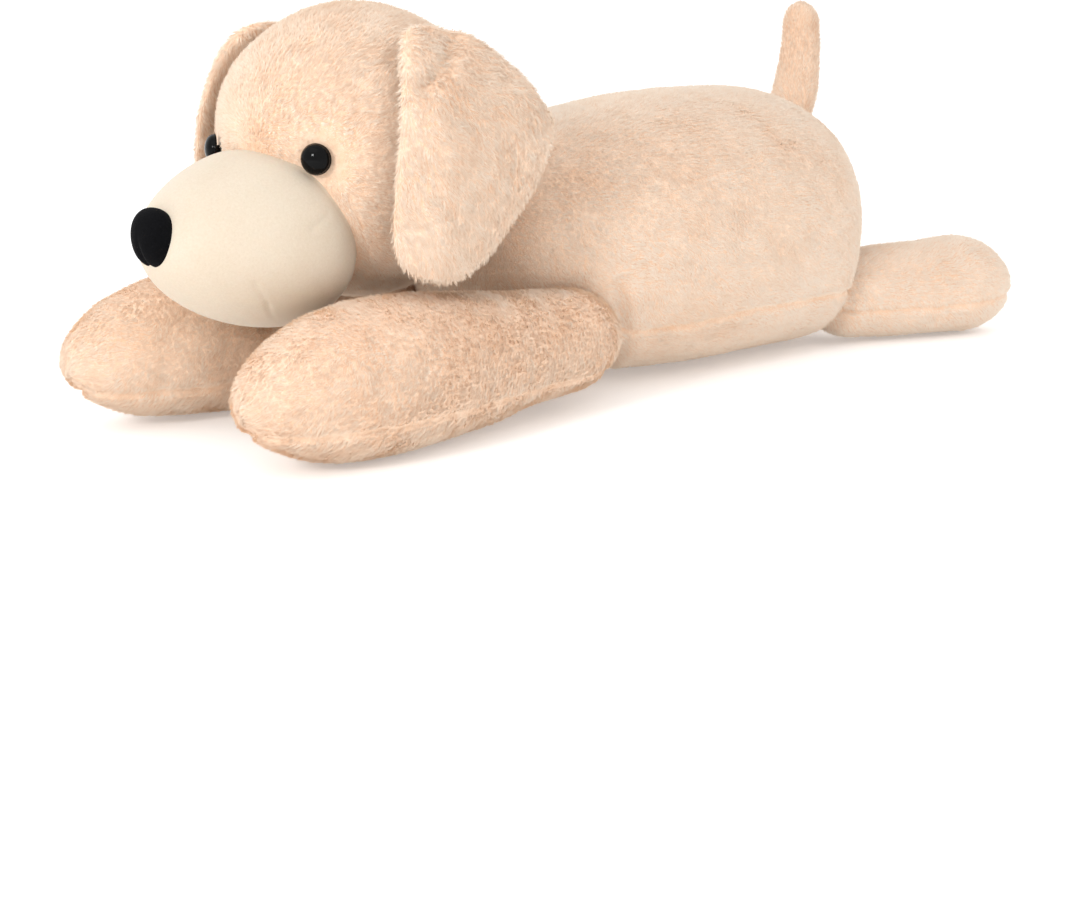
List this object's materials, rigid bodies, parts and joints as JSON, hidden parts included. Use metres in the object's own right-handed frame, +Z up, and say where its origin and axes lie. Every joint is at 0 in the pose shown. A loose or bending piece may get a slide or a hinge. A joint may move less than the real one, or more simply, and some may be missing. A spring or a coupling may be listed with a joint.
{
  "type": "stuffed plush dog",
  "caption": "Stuffed plush dog lying on its belly with forelegs forward, hind legs stretched back, tail up and hanging ears; head, ears, legs and tail move.",
  "frame": {"origin": "on the floor, under the middle of the bounding box", "axes": "+Z up, the nose points along -Y, the dog's own left side is +X"},
  "size_m": [0.396, 0.9139, 0.327],
  "materials": {
    "plush": "matte",
    "velboa": "matte",
    "velour": "matte",
    "stuffing": "matte",
    "eye_plastic": "gloss",
    "washer_plastic": "matte"
  },
  "bodies": {
    "body": {"body_back_cover": "plush", "body_belly_cover": "plush", "body_stuffing": "stuffing"},
    "head": {"head_gusset": "plush", "head_side_left": "plush", "head_side_right": "plush", "head_stuffing": "stuffing", "muzzle_cover": "velboa", "muzzle_stuffing": "stuffing", "nose_cover": "velour", "nose_filling": "stuffing", "eye_left": "eye_plastic", "eye_washer_left": "washer_plastic", "eye_right": "eye_plastic", "eye_washer_right": "washer_plastic"},
    "ear_left": {"ear_outer_left": "plush", "ear_inner_left": "plush", "ear_wadding_left": "stuffing"},
    "ear_right": {"ear_outer_right": "plush", "ear_inner_right": "plush", "ear_wadding_right": "stuffing"},
    "foreleg_left": {"foreleg_top_left": "plush", "foreleg_sole_left": "plush", "foreleg_stuffing_left": "stuffing"},
    "foreleg_right": {"foreleg_top_right": "plush", "foreleg_sole_right": "plush", "foreleg_stuffing_right": "stuffing"},
    "hindleg_left": {"hindleg_top_left": "plush", "hindleg_sole_left": "plush", "hindleg_stuffing_left": "stuffing"},
    "hindleg_right": {"hindleg_top_right": "plush", "hindleg_sole_right": "plush", "hindleg_stuffing_right": "stuffing"},
    "tail": {"tail_left_cover": "plush", "tail_right_cover": "plush", "tail_stuffing": "stuffing"}
  },
  "joints": [
    {"name": "neck_nod", "type": "hinge", "parent": "body", "child": "head", "pos_m": [0, -0.249, 0.213], "axis": [-1, 0, 0], "range_deg": [0, 20]},
    {"name": "ear_left_hang", "type": "hinge", "parent": "head", "child": "ear_left", "pos_m": [0.09587, -0.253, 0.29932], "axis": [0, -1, 0], "range_deg": [0, 100]},
    {"name": "ear_right_hang", "type": "hinge", "parent": "head", "child": "ear_right", "pos_m": [-0.09587, -0.253, 0.29932], "axis": [0, 1, 0], "range_deg": [0, 100]},
    {"name": "foreleg_left_swing", "type": "hinge", "parent": "body", "child": "foreleg_left", "pos_m": [0.102, -0.121, 0.0575], "axis": [0, 0, 1], "range_deg": [0, 35]},
    {"name": "foreleg_right_swing", "type": "hinge", "parent": "body", "child": "foreleg_right", "pos_m": [-0.102, -0.121, 0.0575], "axis": [0, 0, -1], "range_deg": [0, 35]},
    {"name": "hindleg_left_swing", "type": "hinge", "parent": "body", "child": "hindleg_left", "pos_m": [0.1, 0.285, 0.046], "axis": [0, 0, -1], "range_deg": [-10, 30]},
    {"name": "hindleg_right_swing", "type": "hinge", "parent": "body", "child": "hindleg_right", "pos_m": [-0.1, 0.285, 0.046], "axis": [0, 0, 1], "range_deg": [-10, 30]},
    {"name": "tail_wag", "type": "hinge", "parent": "body", "child": "tail", "pos_m": [0, 0.314, 0.205], "axis": [0, 1, 0], "range_deg": [-30, 30], "stiffness_Nm_per_rad": 0.3}
  ]
}
